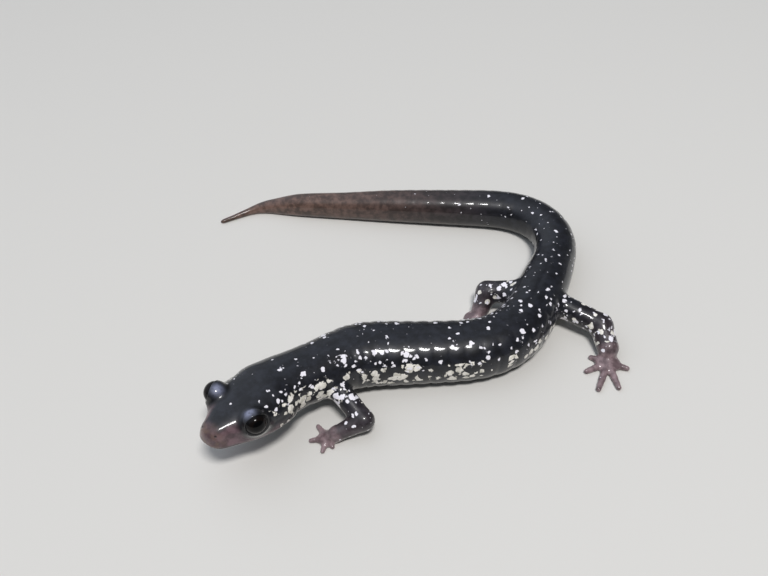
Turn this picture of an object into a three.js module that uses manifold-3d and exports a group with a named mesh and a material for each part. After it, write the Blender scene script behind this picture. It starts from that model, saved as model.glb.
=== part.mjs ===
// A slimy salamander (a woodland salamander), life size, on a level floor with its head raised and its
// tail swept round behind it. Millimetres, +Z up, floor at Z = 0, origin under the middle of the animal.
//
// Distances "at" a place are measured along the body from the tip of the snout. The spine is one smooth
// plan curve whose heading changes at a few bends, and the body is a row of sections hung on that curve.
// Each limb is a chain of round, slightly swollen lengths between its own joints.

import * as THREE from 'three';
import { mergeVertices } from 'three/addons/utils/BufferGeometryUtils.js';
import Module from 'manifold-3d';

const wasm = await Module();
wasm.setup();

// Driving dimensions

const bodyLength = 147; // snout to tail tip, along the curve
const partingGap = 0.3; // between neighbouring pieces
const snoutPlace = new THREE.Vector2(-28.3, -29.25);
const snoutHeading = 51; // degrees, from snout towards tail, anticlockwise from +X
const spineStep = 0.25; // spacing of the worked-out spine points

// Each bend turns the spine by so many degrees, centred at a place and spread over a length.
const bends = [
  { name: 'neck', turn: -17.5, at: 13.5, over: 9 },
  { name: 'shoulder', turn: -30, at: 28, over: 11 },
  { name: 'hip', turn: 62, at: 52, over: 25 },
  { name: 'tail root', turn: 110.5, at: 83.5, over: 32 },
  { name: 'tail tip', turn: 33, at: 139, over: 9 },
];

// Half width, height above and depth below the widest line, and the level of that line over the floor.
const sections = [
  { name: 'snout', at: 0, half: 2.25, above: 2.4, below: 1.2, level: 7.4 },
  { name: 'nostril', at: 1.6, half: 2.6, above: 2.85, below: 1.4, level: 7.2 },
  { name: 'muzzle', at: 3.4, half: 3.45, above: 3.4, below: 1.65, level: 7 },
  { name: 'eye', at: 6, half: 4.7, above: 4, below: 1.95, level: 6.7 },
  { name: 'cheek', at: 9, half: 5.5, above: 4.2, below: 2.3, level: 6.5 },
  { name: 'jaw angle', at: 11.3, half: 5.55, above: 4.25, below: 2.6, level: 6.4 },
  { name: 'throat', at: 14.5, half: 4.9, above: 4.05, below: 3.2, level: 6.25 },
  { name: 'collar', at: 17.5, half: 4.6, above: 4.1, below: 3.6, level: 5.9 },
  { name: 'shoulder', at: 22, half: 4.7, above: 4.35, below: 4, level: 5.25 },
  { name: 'chest', at: 29, half: 5.2, above: 4.75, below: 4.5, level: 4.55 },
  { name: 'belly', at: 40, half: 4.95, above: 4.6, below: 4.45, level: 4.15 },
  { name: 'flank', at: 52, half: 4.7, above: 4.45, below: 4.35, level: 4.05 },
  { name: 'hip', at: 61.5, half: 4.4, above: 4.2, below: 4.15, level: 3.85 },
  { name: 'vent', at: 68, half: 4.15, above: 4, below: 4, level: 3.7 },
  { name: 'tail root', at: 75, half: 3.7, above: 3.6, below: 3.6, level: 3.3 },
  { name: 'tail bend', at: 85, half: 3.6, above: 3.5, below: 3.5, level: 3.2 },
  { name: 'tail back', at: 93, half: 3.4, above: 3.4, below: 3.4, level: 3.1 },
  { name: 'tail middle', at: 101, half: 3.2, above: 3.25, below: 3.25, level: 2.95 },
  { name: 'tail long', at: 113, half: 2.85, above: 2.95, below: 2.95, level: 2.65 },
  { name: 'tail thin', at: 123, half: 2.35, above: 2.45, below: 2.45, level: 2.15 },
  { name: 'tail waist', at: 131, half: 2, above: 2.1, below: 2.1, level: 1.85 },
  { name: 'tail taper', at: 137, half: 1.25, above: 1.3, below: 1.3, level: 1.1 },
  { name: 'tail slip', at: 142, half: 0.6, above: 0.62, below: 0.62, level: 0.52 },
  { name: 'tail tip', at: bodyLength, half: 0.4, above: 0.4, below: 0.4, level: 0.33 },
];
const backPower = 2.2; // superellipse power of a section above its widest line; 2 is an ellipse
const bellyPower = 2.35;
const snoutRound = { length: 2.3, power: 2.6 };
const tipRound = { length: 0.8, power: 2 };

// The body's pieces, each from the end of the one before it.
const headRing = 0.87; // mean ring spacing
const bodyRing = 2;
const tipRing = 1.4;
const ringCrowding = 1.4; // rings lie closer towards the snout and the tail tip
const bodySides = 20;
const brownTail = 90; // pieces that start past here have the brown skin
const lengths = [
  { name: 'head', end: 13, ring: headRing },
  { name: 'neck', end: 20, ring: bodyRing },
  { name: 'trunk_front', end: 34, ring: bodyRing },
  { name: 'trunk_middle', end: 46, ring: bodyRing },
  { name: 'trunk_rear', end: 57.5, ring: bodyRing },
  { name: 'hips', end: 69, ring: bodyRing },
  { name: 'tail_1', end: 78, ring: bodyRing },
  { name: 'tail_2', end: 86, ring: bodyRing },
  { name: 'tail_3', end: 95, ring: bodyRing },
  { name: 'tail_4', end: 107, ring: bodyRing },
  { name: 'tail_5', end: 120, ring: bodyRing },
  { name: 'tail_6', end: 133, ring: bodyRing },
  { name: 'tail_7', end: bodyLength, ring: tipRing },
];

const eye = { at: 6, out: 3.88, up: 2.95, radius: 1.78 };
const orbit = { swell: 0.7, along: 2.1, around: 0.5, angle: 0.62 }; // the swelling that carries an eye
const mouth = { corner: 9.8, drop: 0.15 }; // the slit lies a little below the widest line
const jawCut = { start: -2, halfWidth: 8, depth: 6 }; // the space that takes the lower jaw off

const swellPlaces = [0.3, 0.6]; // rings between the ends of a limb's length
const toe = { rootRadius: 0.7, tipRadius: 0.47, height: 0.42 };
const palmHeight = 0.85;
const palmSides = 10;
const palmRings = 6;
const eyeSides = 14;
const eyeRings = 10;
const limbSides = 12;
const toeSides = 6;

// Joints are [x, y, height]; toes are the places of their tips, innermost first.
const limbs = [
  {
    names: ['upper_arm_left', 'forearm_left', 'hand_left'],
    joints: [[-11, -17, 4.9], [-6.5, -22, 2.7], [-10.6, -23.5, 1.4]],
    radii: [1.6, 1.5, 1.12],
    palm: { centre: [-12, -23.6], length: 1.5, width: 1.35 },
    toes: [[-13.7, -21.2], [-14.8, -24.1], [-12.7, -26.2], [-11, -25.4]],
  },
  {
    names: ['upper_arm_right', 'forearm_right', 'hand_right'],
    joints: [[-14.5, -12.1, 4.9], [-11, -6.6, 2.8], [-15, -8, 1.4]],
    radii: [1.6, 1.5, 1.12],
    palm: { centre: [-16.4, -8.5], length: 1.5, width: 1.35 },
    toes: [[-15.5, -10.9], [-18.1, -10.9], [-19.2, -8.6], [-18, -7]],
  },
  {
    names: ['thigh_left', 'shin_left', 'foot_left'],
    joints: [[24.6, 1.2, 4.2], [31.5, -3.4, 3], [32.5, -7.3, 1.45]],
    radii: [1.85, 1.65, 1.45],
    palm: { centre: [32.7, -9.2], length: 1.9, width: 2 },
    toes: [[29.9, -7.9], [28.7, -11.1], [30.2, -14.9], [33.7, -14.6], [36.1, -10.5]],
  },
  {
    names: ['thigh_right', 'shin_right', 'foot_right'],
    joints: [[20.8, 3.2, 4.2], [13.6, 4.1, 3.3], [12.8, 1.9, 1.4]],
    radii: [1.9, 1.75, 1.4],
    palm: { centre: [12, 0.2], length: 1.9, width: 2 },
    toes: [[14.6, -1.8], [13.2, -4], [11.2, -4.6], [9.3, -3.6], [9, -1.2]],
  },
];

// Materials

const skin = new THREE.MeshStandardMaterial({ color: 0x17181d, roughness: 0.32, metalness: 0 });
const jawSkin = new THREE.MeshStandardMaterial({ color: 0x40323a, roughness: 0.35, metalness: 0 });
const tailSkin = new THREE.MeshStandardMaterial({ color: 0x2e2624, roughness: 0.32, metalness: 0 });
const footSkin = new THREE.MeshStandardMaterial({ color: 0x56454c, roughness: 0.4, metalness: 0 });
const eyeBlack = new THREE.MeshStandardMaterial({ color: 0x050608, roughness: 0.06, metalness: 0 });

// Solids

function solidOf(geometry) {
  const bare = geometry.clone();
  bare.deleteAttribute('normal');
  bare.deleteAttribute('uv');
  const merged = mergeVertices(bare, 1e-4);
  const corners = merged.index.array;
  const triVerts = [];
  for (let i = 0; i < corners.length; i += 3) {
    const [a, b, c] = corners.slice(i, i + 3);
    if (a !== b && b !== c && c !== a) triVerts.push(a, b, c);
  }
  return new wasm.Manifold(
    new wasm.Mesh({
      numProp: 3,
      vertProperties: merged.attributes.position.array,
      triVerts: new Uint32Array(triVerts),
    }),
  );
}

function geometryOf(solid) {
  const { vertProperties, triVerts } = solid.getMesh();
  const geometry = new THREE.BufferGeometry();
  geometry.setAttribute('position', new THREE.Float32BufferAttribute(vertProperties, 3));
  geometry.setIndex(Array.from(triVerts));
  geometry.computeVertexNormals();
  return geometry;
}

function meshOf(name, solid, material) {
  const mesh = new THREE.Mesh(geometryOf(solid), material);
  mesh.name = name;
  return mesh;
}

// Everything under the floor is taken off, so that belly, tail and soles lie flat.
const floorSize = 400;
const floorDepth = 20;
const floorBox = new THREE.BoxGeometry(floorSize, floorSize, floorDepth);
const floor = solidOf(floorBox.translate(0, 0, -floorDepth / 2));

// The spine

function ease(x) {
  const t = THREE.MathUtils.clamp(x, 0, 1);
  return t * t * t * (t * (6 * t - 15) + 10);
}

function headingAt(at) {
  let degrees = snoutHeading;
  for (const bend of bends) {
    degrees += bend.turn * ease((at - bend.at) / bend.over + 0.5);
  }
  return THREE.MathUtils.degToRad(degrees);
}

function makeSpine() {
  const points = [snoutPlace.clone()];
  for (let at = 0; at < bodyLength; at += spineStep) {
    const heading = headingAt(at + spineStep / 2);
    const step = new THREE.Vector2(Math.cos(heading), Math.sin(heading)).multiplyScalar(spineStep);
    points.push(points[points.length - 1].clone().add(step));
  }
  return points;
}

const spine = makeSpine();

// A place in the plan: "at" along the spine and "out" towards the animal's left.
function planPoint(at, out) {
  const step = THREE.MathUtils.clamp(at / spineStep, 0, spine.length - 1.001);
  const before = Math.floor(step);
  const point = spine[before].clone().lerp(spine[before + 1], step - before);
  const heading = headingAt(at);
  const beyond = at - step * spineStep; // places ahead of the snout or past the tail tip
  point.x += Math.cos(heading) * beyond + Math.sin(heading) * out;
  point.y += Math.sin(heading) * beyond - Math.cos(heading) * out;
  return point;
}

// Sections

// Monotone cubic through the stations, so that the outline never overshoots them.
function slopeAt(values, key, i) {
  if (i === 0 || i === values.length - 1) return 0;
  const before = (values[i][key] - values[i - 1][key]) / (values[i].at - values[i - 1].at);
  const after = (values[i + 1][key] - values[i][key]) / (values[i + 1].at - values[i].at);
  return before * after <= 0 ? 0 : (2 * before * after) / (before + after);
}

function sectionValue(key, at) {
  const place = THREE.MathUtils.clamp(at, 0, bodyLength);
  let i = 0;
  while (i < sections.length - 2 && sections[i + 1].at <= place) i += 1;
  const span = sections[i + 1].at - sections[i].at;
  const t = (place - sections[i].at) / span;
  const start = sections[i][key];
  const end = sections[i + 1][key];
  const startSlope = slopeAt(sections, key, i) * span;
  const endSlope = slopeAt(sections, key, i + 1) * span;
  const t2 = t * t;
  const t3 = t2 * t;
  return (2 * t3 - 3 * t2 + 1) * start + (t3 - 2 * t2 + t) * startSlope
    + (3 * t2 - 2 * t3) * end + (t3 - t2) * endSlope;
}

function roundEnd(distance, end) {
  if (distance >= end.length) return 1;
  const gone = 1 - Math.max(distance, 0) / end.length;
  return Math.pow(1 - Math.pow(gone, end.power), 1 / end.power);
}

// A point of the skin. Angle 0 is the animal's left side, and a quarter turn is the back.
function skinPoint(at, angle, reach, growth) {
  const c = Math.cos(angle);
  const s = Math.sin(angle);
  const power = s > 0 ? backPower : bellyPower;
  const radius = Math.pow(Math.pow(Math.abs(c), power) + Math.pow(Math.abs(s), power), -1 / power);
  const closing = roundEnd(at, snoutRound) * roundEnd(bodyLength - at, tipRound);
  const tall = sectionValue(s > 0 ? 'above' : 'below', at);
  let out = radius * c * sectionValue('half', at) * closing;
  let up = radius * s * tall * closing;
  const sideAngle = Math.atan2(s, Math.abs(c));
  const fromEye = Math.hypot((at - eye.at) / orbit.along, (sideAngle - orbit.angle) / orbit.around);
  const nearEye = Math.exp(-fromEye * fromEye);
  const wall = Math.hypot(out, up);
  const grown = wall > 0 ? (wall + orbit.swell * nearEye + growth) / wall : 1;
  out *= grown * reach;
  up *= grown * reach;
  const plan = planPoint(at, out);
  return new THREE.Vector3(plan.x, plan.y, sectionValue('level', at) + up);
}

function ringPlace(from, to, part) {
  if (from <= 0) return from + (to - from) * Math.pow(part, ringCrowding);
  if (to >= bodyLength) return to - (to - from) * Math.pow(1 - part, ringCrowding);
  return from + (to - from) * part;
}

// A drum whose axis follows the spine and whose wall follows the sections.
function bodyLengthSolid(from, to, ring, growth = 0) {
  const rings = Math.max(2, Math.round((to - from) / ring));
  const geometry = new THREE.CylinderGeometry(1, 1, 1, bodySides, rings);
  const position = geometry.attributes.position;
  for (let i = 0; i < position.count; i += 1) {
    const across = new THREE.Vector2(position.getX(i), position.getZ(i));
    const at = ringPlace(from, to, position.getY(i) + 0.5);
    const point = skinPoint(at, Math.atan2(across.y, across.x), Math.min(1, across.length()), growth);
    position.setXYZ(i, point.x, point.y, point.z);
  }
  return solidOf(geometry);
}

// A block that follows the spine, between two places and two heights.
function bentBlock(from, to, halfWidth, bottom, top) {
  const steps = Math.ceil((to - from) / headRing);
  const geometry = new THREE.BoxGeometry(1, 1, 1, steps, 1, 1);
  const position = geometry.attributes.position;
  for (let i = 0; i < position.count; i += 1) {
    const at = from + (position.getX(i) + 0.5) * (to - from);
    const plan = planPoint(at, -2 * position.getY(i) * halfWidth);
    const height = position.getZ(i) > 0 ? top(at) : bottom(at);
    position.setXYZ(i, plan.x, plan.y, height);
  }
  return solidOf(geometry);
}

// Head and lower jaw

function eyeCentre(side) {
  const plan = planPoint(eye.at, side * eye.out);
  return new THREE.Vector3(plan.x, plan.y, sectionValue('level', eye.at) + eye.up);
}

function makeEye(name, side) {
  const mesh = new THREE.Mesh(new THREE.SphereGeometry(eye.radius, eyeSides, eyeRings), eyeBlack);
  mesh.name = name;
  mesh.position.copy(eyeCentre(side));
  return mesh;
}

function makeHead(head) {
  let solid = head;
  for (const side of [1, -1]) {
    const socket = new THREE.SphereGeometry(eye.radius + partingGap, eyeSides, eyeRings);
    const place = eyeCentre(side);
    solid = solid.subtract(solidOf(socket.translate(place.x, place.y, place.z)));
  }
  const slit = (at) => sectionValue('level', at) - mouth.drop;
  const under = (at) => sectionValue('level', at) - jawCut.depth;
  const jawTop = (at) => slit(at) - partingGap / 2;
  const lipEdge = (at) => slit(at) + partingGap / 2;
  const jawSpace = bentBlock(jawCut.start, mouth.corner, jawCut.halfWidth, under, jawTop);
  const jawClearance = bentBlock(
    jawCut.start, mouth.corner + partingGap, jawCut.halfWidth, under, lipEdge,
  );
  return [
    meshOf('head', solid.subtract(jawClearance), skin),
    meshOf('lower_jaw', solid.intersect(jawSpace), jawSkin),
  ];
}

// Limbs

// A round length between two points, with domed ends and a slight swell between them.
function roundLength(start, end, startRadius, endRadius, sides, domeSteps = 3, swell = 0.06) {
  const length = start.distanceTo(end);
  const profile = [];
  for (let i = 0; i <= domeSteps; i += 1) {
    const turn = (i / domeSteps) * (Math.PI / 2);
    profile.push([Math.sin(turn) * startRadius, -Math.cos(turn) * startRadius]);
  }
  for (const t of swellPlaces) {
    const radius = THREE.MathUtils.lerp(startRadius, endRadius, t) * (1 + swell);
    profile.push([radius, length * t]);
  }
  for (let i = 0; i <= domeSteps; i += 1) {
    const turn = (i / domeSteps) * (Math.PI / 2);
    profile.push([Math.cos(turn) * endRadius, length + Math.sin(turn) * endRadius]);
  }
  profile[0][0] = 0;
  profile[profile.length - 1][0] = 0;
  const points = profile.map(([radius, height]) => new THREE.Vector2(radius, height));
  const geometry = new THREE.LatheGeometry(points, sides);
  const axis = end.clone().sub(start).normalize();
  geometry.applyQuaternion(new THREE.Quaternion().setFromUnitVectors(new THREE.Vector3(0, 1, 0), axis));
  geometry.translate(start.x, start.y, start.z);
  return solidOf(geometry);
}

function makePaw(limb, wrist, wristRadius) {
  const [x, y] = limb.palm.centre;
  const centre = new THREE.Vector3(x, y, toe.height);
  const facing = Math.atan2(y - wrist.y, x - wrist.x);
  const pad = new THREE.SphereGeometry(1, palmSides, palmRings);
  pad.scale(limb.palm.length, limb.palm.width, palmHeight);
  pad.rotateZ(facing).translate(centre.x, centre.y, centre.z);
  let solid = solidOf(pad).add(roundLength(wrist, centre, wristRadius, palmHeight, limbSides));
  for (const [tipX, tipY] of limb.toes) {
    const tip = new THREE.Vector3(tipX, tipY, toe.height);
    const back = tip.clone().sub(centre).setLength(toe.tipRadius);
    tip.sub(back);
    solid = solid.add(roundLength(centre, tip, toe.rootRadius, toe.tipRadius, toeSides, 2, 0));
  }
  return solid;
}

function makeLimb(limb, grownBody) {
  const [root, middle, end] = limb.joints.map((joint) => new THREE.Vector3(...joint));
  const [rootRadius, middleRadius, endRadius] = limb.radii;
  const upper = roundLength(root, middle, rootRadius, middleRadius, limbSides);
  const lower = roundLength(middle, end, middleRadius, endRadius, limbSides);
  const paw = makePaw(limb, end, endRadius);
  const gap = partingGap;
  const grownUpper = roundLength(root, middle, rootRadius + gap, middleRadius + gap, limbSides);
  const grownLower = roundLength(middle, end, middleRadius + gap, endRadius + gap, limbSides);
  const solids = [
    upper.subtract(grownBody),
    lower.subtract(grownUpper).subtract(grownBody),
    paw.subtract(grownLower).subtract(grownUpper).subtract(grownBody),
  ];
  const finishes = [skin, skin, footSkin];
  return limb.names.map((name, i) => meshOf(name, solids[i].subtract(floor), finishes[i]));
}

// The whole animal

const salamander = new THREE.Group();

let from = 0;
for (const length of lengths) {
  const isLast = length.end === bodyLength;
  const to = isLast ? length.end : length.end - partingGap;
  const solid = bodyLengthSolid(from, to, length.ring).subtract(floor);
  if (length.name === 'head') {
    salamander.add(...makeHead(solid));
  } else {
    salamander.add(meshOf(length.name, solid, from < brownTail ? skin : tailSkin));
  }
  from = length.end;
}

salamander.add(makeEye('eye_left', 1), makeEye('eye_right', -1));

const grownBody = bodyLengthSolid(0, bodyLength, bodyRing, partingGap);
for (const limb of limbs) {
  salamander.add(...makeLimb(limb, grownBody));
}

// The origin goes under the middle of the animal's box, on the floor.
const box = new THREE.Box3().setFromObject(salamander);
const middle = box.getCenter(new THREE.Vector3());
salamander.position.set(-middle.x, -middle.y, -box.min.z);

export default salamander;
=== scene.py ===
import math

import bmesh
import bpy
import numpy as np
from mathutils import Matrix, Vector


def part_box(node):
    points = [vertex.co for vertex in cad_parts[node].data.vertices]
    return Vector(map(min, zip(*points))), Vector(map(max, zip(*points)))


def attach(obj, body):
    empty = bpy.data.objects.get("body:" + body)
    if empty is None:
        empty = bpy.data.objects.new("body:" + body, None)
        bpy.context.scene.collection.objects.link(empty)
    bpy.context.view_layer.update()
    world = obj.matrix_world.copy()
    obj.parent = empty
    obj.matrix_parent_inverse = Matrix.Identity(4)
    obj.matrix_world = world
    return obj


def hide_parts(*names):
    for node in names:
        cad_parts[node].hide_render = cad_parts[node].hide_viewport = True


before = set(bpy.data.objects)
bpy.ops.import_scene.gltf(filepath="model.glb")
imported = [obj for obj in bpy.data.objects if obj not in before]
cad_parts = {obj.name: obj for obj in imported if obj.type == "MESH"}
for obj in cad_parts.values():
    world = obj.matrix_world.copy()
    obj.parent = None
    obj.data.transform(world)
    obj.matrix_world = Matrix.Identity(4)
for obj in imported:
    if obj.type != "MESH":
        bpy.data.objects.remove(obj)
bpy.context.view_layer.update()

mm = 0.001

# A slimy salamander on a pale floor. The skin is worked out as one field of distances in millimetres, less
# than nought inside the animal, and a net of faces is laid on the surface where the field is nought.

# "at" runs from the tip of the snout along the body, and "out" from its middle towards its left.
animal = {
    "length": 147.0,
    "snout": (-28.3, -29.25),
    "heading": 51.0,
    # degrees turned, the bend's centre, the length that it is spread over
    "bends": ((-17.5, 13.5, 9), (-30, 28, 11), (62, 52, 25), (110.5, 83.5, 32), (33, 139, 9)),
    # at, half width, height above and depth below the widest line, that line's level over the floor
    "sections": (
        (0, 2.25, 2.4, 1.2, 7.4),
        (1.6, 2.6, 2.85, 1.4, 7.2),
        (3.4, 3.45, 3.4, 1.65, 7),
        (6, 4.7, 4, 1.95, 6.7),
        (9, 5.5, 4.2, 2.3, 6.5),
        (11.3, 5.55, 4.25, 2.6, 6.4),
        (14.5, 4.9, 4.05, 3.2, 6.25),
        (17.5, 4.6, 4.1, 3.6, 5.9),
        (22, 4.7, 4.35, 4, 5.25),
        (29, 5.2, 4.75, 4.5, 4.55),
        (40, 4.95, 4.6, 4.45, 4.15),
        (52, 4.7, 4.45, 4.35, 4.05),
        (61.5, 4.4, 4.2, 4.15, 3.85),
        (68, 4.15, 4, 4, 3.7),
        (75, 3.7, 3.6, 3.6, 3.3),
        (85, 3.6, 3.5, 3.5, 3.2),
        (93, 3.4, 3.4, 3.4, 3.1),
        (101, 3.2, 3.25, 3.25, 2.95),
        (113, 2.85, 2.95, 2.95, 2.65),
        (123, 2.35, 2.45, 2.45, 2.15),
        (131, 2, 2.1, 2.1, 1.85),
        (137, 1.25, 1.3, 1.3, 1.1),
        (142, 0.6, 0.62, 0.62, 0.52),
        (147, 0.4, 0.4, 0.4, 0.33),
    ),
    "backPower": 2.2,  # 2 is an ellipse, and more is squarer
    "bellyPower": 2.35,
    "snoutRound": (2.3, 2.6),  # length and power of the rounding
    "tipRound": (0.8, 2.0),
    "floorEdge": 0.14,  # rounding where the belly meets the floor
}

eye = {
    "at": 6.0,
    "out": 3.88,
    "up": 2.95,
    "radius": 1.78,
    "look": (0.30, 0.88, 0.36),  # forward, outward, upward
    "lids": (1.24, 0.98),  # half the opening along the head and across it, in radians of the ball
    "lidDepth": 0.07,
    "rim": 0.075,
    "sunk": 0.4,  # how far the skin dips under the ball inside the lids
    "lidRise": (1.2, 4, 0.45),  # how the lid thickens: slope, curve, and the height from which it curves
    "openingTop": 1.4,
    "cheek": (0.8, 1.1),  # how far the flesh over the eye rounds its corner, and how much more that under it
    "cheekFrom": (0.6, -0.9),  # the heights from the ball's middle between which that changes
}

head = {
    "orbit": (0.28, 2.2, 0.5, 0.6),  # swelling round the eye: height, spread along, spread round, angle
    "mouthCorner": 9.8,
    "mouthDrop": 0.15,  # the slit below the widest line
    "mouthWidth": 0.12,
    "mouthDepth": 0.32,
    "cornerDroop": (0.45, 2.6),  # how far the slit drops at its corner, and over what length
    "overbite": 0.14,
    "jawReach": (1.2, 1.6),  # the jaw's relief fades from this far ahead of the corner to this far past it
    "lip": (0.07, 0.4, 0.3),  # its swelling: height, place over the slit, half width
    "nostril": (0.95, 0.95),  # at, angle up from the widest line
    "nostrilRadius": 0.14,
    "nostrilDepth": 0.42,
    "lipGroove": ((0.9, 0.5), (0.8, -0.02)),  # the middle and end of the groove from nostril to lip
    "lipGrooveSize": (0.085, 0.11),  # depth and half width
    # other ridges and furrows: start and end (at, angle), height or depth, half width
    "ridges": (
        ((1.5, 1.05), (4.4, 0.95), 0.03, 0.75),  # from nostril to eye
        ((2.0, 0.5), (4.2, 0.42), -0.14, 0.85),  # the hollow under it
        ((8.6, 0.95), (12.0, 0.9), 0.12, 1.3),  # the jaw's muscle
        ((8.3, 0.32), (13.4, 0.12), -0.09, 0.34),  # the groove behind the eye
    ),
    "crown": (0.07, 0.7),  # the furrow between and behind the eyes: depth and half width
    "crownReach": (3.0, 5.0, 8.0, 10.5),
    "throatFold": 14.0,
    "throatSlant": 0.9,  # how much further forward it is under the throat
    "throatDepth": 0.2,
    "throatWidth": 0.26,
    "throatRoll": (0.5, 0.75, 0.5),  # the roll ahead of it: share of its depth, distance, half width
}

trunk = {
    # the first groove's place, spacing, depth, where they start and are full, and leave off and end
    "ribs": (25.4, 2.32, 0.17, (24.0, 25.8, 59.8, 61.6)),
    "tail": (71.0, 2.7, 0.045, (70.0, 73.0, 116.0, 124.0)),
    "neck": (16.6, 2.5, 0.13, (15.6, 16.6, 21.6, 22.6)),
    "ribSlant": 0.4,
    "neckSlant": 0.5,
    "ribSides": (-1.5, -1.0, 0.7, 1.3),
    "spineFurrow": (0.07, 0.45),  # depth and half width
    "spineReach": (14, 18, 66, 72),
    "vent": (65.6, 68.4),
    "ventSize": (0.12, 0.15),  # half width and rounding
}

# Joints are x, y, height. Toes are the places of their tips, innermost first.
limbs = {
    "armLeft": {
        "joints": ((-11, -17, 4.9), (-6.5, -22, 2.7), (-10.6, -23.5, 1.4)),
        "radii": (1.6, 1.5, 1.12),
        "palm": (-12, -23.6, 1.5, 1.35),
        "toeSize": 0.8,
        "toes": ((-13.7, -21.2), (-14.8, -24.1), (-12.7, -26.2), (-11, -25.4)),
    },
    "armRight": {
        "joints": ((-14.5, -12.1, 4.9), (-11, -6.6, 2.8), (-15, -8, 1.4)),
        "radii": (1.6, 1.5, 1.12),
        "palm": (-16.4, -8.5, 1.5, 1.35),
        "toeSize": 0.8,
        "toes": ((-15.5, -10.9), (-18.1, -10.9), (-19.2, -8.6), (-18, -7)),
    },
    "legLeft": {
        "joints": ((24.6, 1.2, 4.2), (32.3, -3.3, 3), (33, -7.1, 1.55)),
        "radii": (1.9, 1.85, 1.65),
        "palm": (32.8, -9.2, 1.9, 2.05),
        "toeSize": 1.0,
        "toes": ((29.9, -7.9), (28.7, -11.1), (30.2, -14.9), (33.7, -14.6), (36.1, -10.5)),
    },
    "legRight": {
        "joints": ((20.8, 3.2, 4.2), (14.1, 4, 3.3), (13, 1.9, 1.4)),
        "radii": (1.9, 1.8, 1.4),
        "palm": (12, 0.2, 1.9, 2),
        "toeSize": 1.0,
        "toes": ((14.6, -1.8), (13.2, -4), (11.2, -4.6), (9.3, -3.6), (9, -1.2)),
    },
}
toe = {
    "root": 0.7,
    "tip": 0.42,
    "knuckle": 0.04,
    "knuckles": ((0.62, 0.07), (0.84, 0.05)),  # place and half width, as shares of the toe
    "height": 0.4,
    "web": 0.45,
    "palmHeight": 0.85,
}
joins = {"limbToBody": 1.1, "knee": 0.7, "wrist": 0.6}  # how far flesh rounds a corner
limbSwell = 0.06  # how much thicker each half of a limb is in its middle

net = {
    "step": 0.3,
    "reach": 7.6,  # half the width of the strip that is searched
    "top": 12.4,
    "under": -0.6,
    "fineHead": 12.0,  # faces ahead of this are split once more, and those of the paws
    "blunt": 0.2,  # rounding of the small folds while the net is coarse
    "filled": -0.02,  # the field where a pocket is filled
    "far": 3.0,  # the field where it isn't searched
    "endMargin": 1.5,
    "limbMargin": 2,
    "limbReach": (3.2, 8.5),  # a limb's field is worked out this far round it, up to this height
    "batch": 9000,  # columns worked out at a time
    "relax": 3,
    "relaxFine": 3,
    "longestMove": 0.12,
    "pawFrom": 1.1,  # how far down a limb the faces are split
    # how near to them faces are split twice
    "fineLids": (0.5, 0.55),  # off the ball's surface, along it
    "fineSlit": (0.35, 0.4),  # above and below, past the corner
    "fineNose": (0.42, 0.3),  # round the nostril, round the groove
}


def between(low, high, value):
    t = np.clip((value - low) / (high - low), 0, 1)
    return t * t * (3 - 2 * t)


# 1 from "full" to "leaves", fading to 0 at "starts" and "ends"
def within(value, starts, full, leaves, ends):
    return between(starts, full, value) * between(ends, leaves, value)


def bell(distance, width):
    return np.exp(-((distance / width) ** 2))


def smoothJoin(first, second, reach):
    overlap = np.maximum(reach - np.abs(first - second), 0) / reach
    return np.minimum(first, second) - overlap**2 * reach / 4


def smoothCut(solid, tool, reach):
    return -smoothJoin(-solid, tool, reach)


# The line along the middle of the body, seen from above

spineStep = 0.25
spineSpare = 6.0  # straight lengths ahead of the snout and past the tail
spineAt = np.arange(-spineSpare, animal["length"] + spineSpare + spineStep / 2, spineStep)


def headingAt(at):
    degrees = np.full(np.shape(at), animal["heading"])
    for turn, centre, over in animal["bends"]:
        t = np.clip((at - centre) / over + 0.5, 0, 1)
        degrees = degrees + turn * t**3 * (t * (6 * t - 15) + 10)
    return np.radians(degrees)


def makeSpine():
    heading = headingAt(spineAt[:-1] + spineStep / 2)
    x = np.concatenate(([0], np.cumsum(np.cos(heading) * spineStep)))
    y = np.concatenate(([0], np.cumsum(np.sin(heading) * spineStep)))
    first = int(round(spineSpare / spineStep))
    return x - x[first] + animal["snout"][0], y - y[first] + animal["snout"][1]


spineX, spineY = makeSpine()


# Turns places seen from above into lengths along the body and off its middle
def bodyPlace(x, y):
    coarse = slice(None, None, 4)  # every fourth place is near enough to start from
    gapX = x[:, None].astype(np.float32) - spineX[None, coarse].astype(np.float32)
    gapY = y[:, None].astype(np.float32) - spineY[None, coarse].astype(np.float32)
    nearest = spineAt[coarse][np.argmin(gapX**2 + gapY**2, axis=1)]
    at = nearest
    for _ in range(7):
        heading = headingAt(at)
        gapX = x - np.interp(at, spineAt, spineX)
        gapY = y - np.interp(at, spineAt, spineY)
        at = np.clip(at + gapX * np.cos(heading) + gapY * np.sin(heading), nearest - 1, nearest + 1)
    heading = headingAt(at)
    gapX = x - np.interp(at, spineAt, spineX)
    gapY = y - np.interp(at, spineAt, spineY)
    return at, gapX * np.sin(heading) - gapY * np.cos(heading)


# The body's sections, on a curve that never overshoots them

stations = np.array(animal["sections"], float)


def stationSlopes():
    rise = np.diff(stations[:, 1:], axis=0) / np.diff(stations[:, :1], axis=0)
    before, after = rise[:-1], rise[1:]
    product = before * after
    total = np.where(product > 0, before + after, 1)
    inner = np.where(product > 0, 2 * product / total, 0)
    ends = np.zeros((1, inner.shape[1]))
    return np.vstack((ends, inner, ends))


slopes = stationSlopes()


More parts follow.
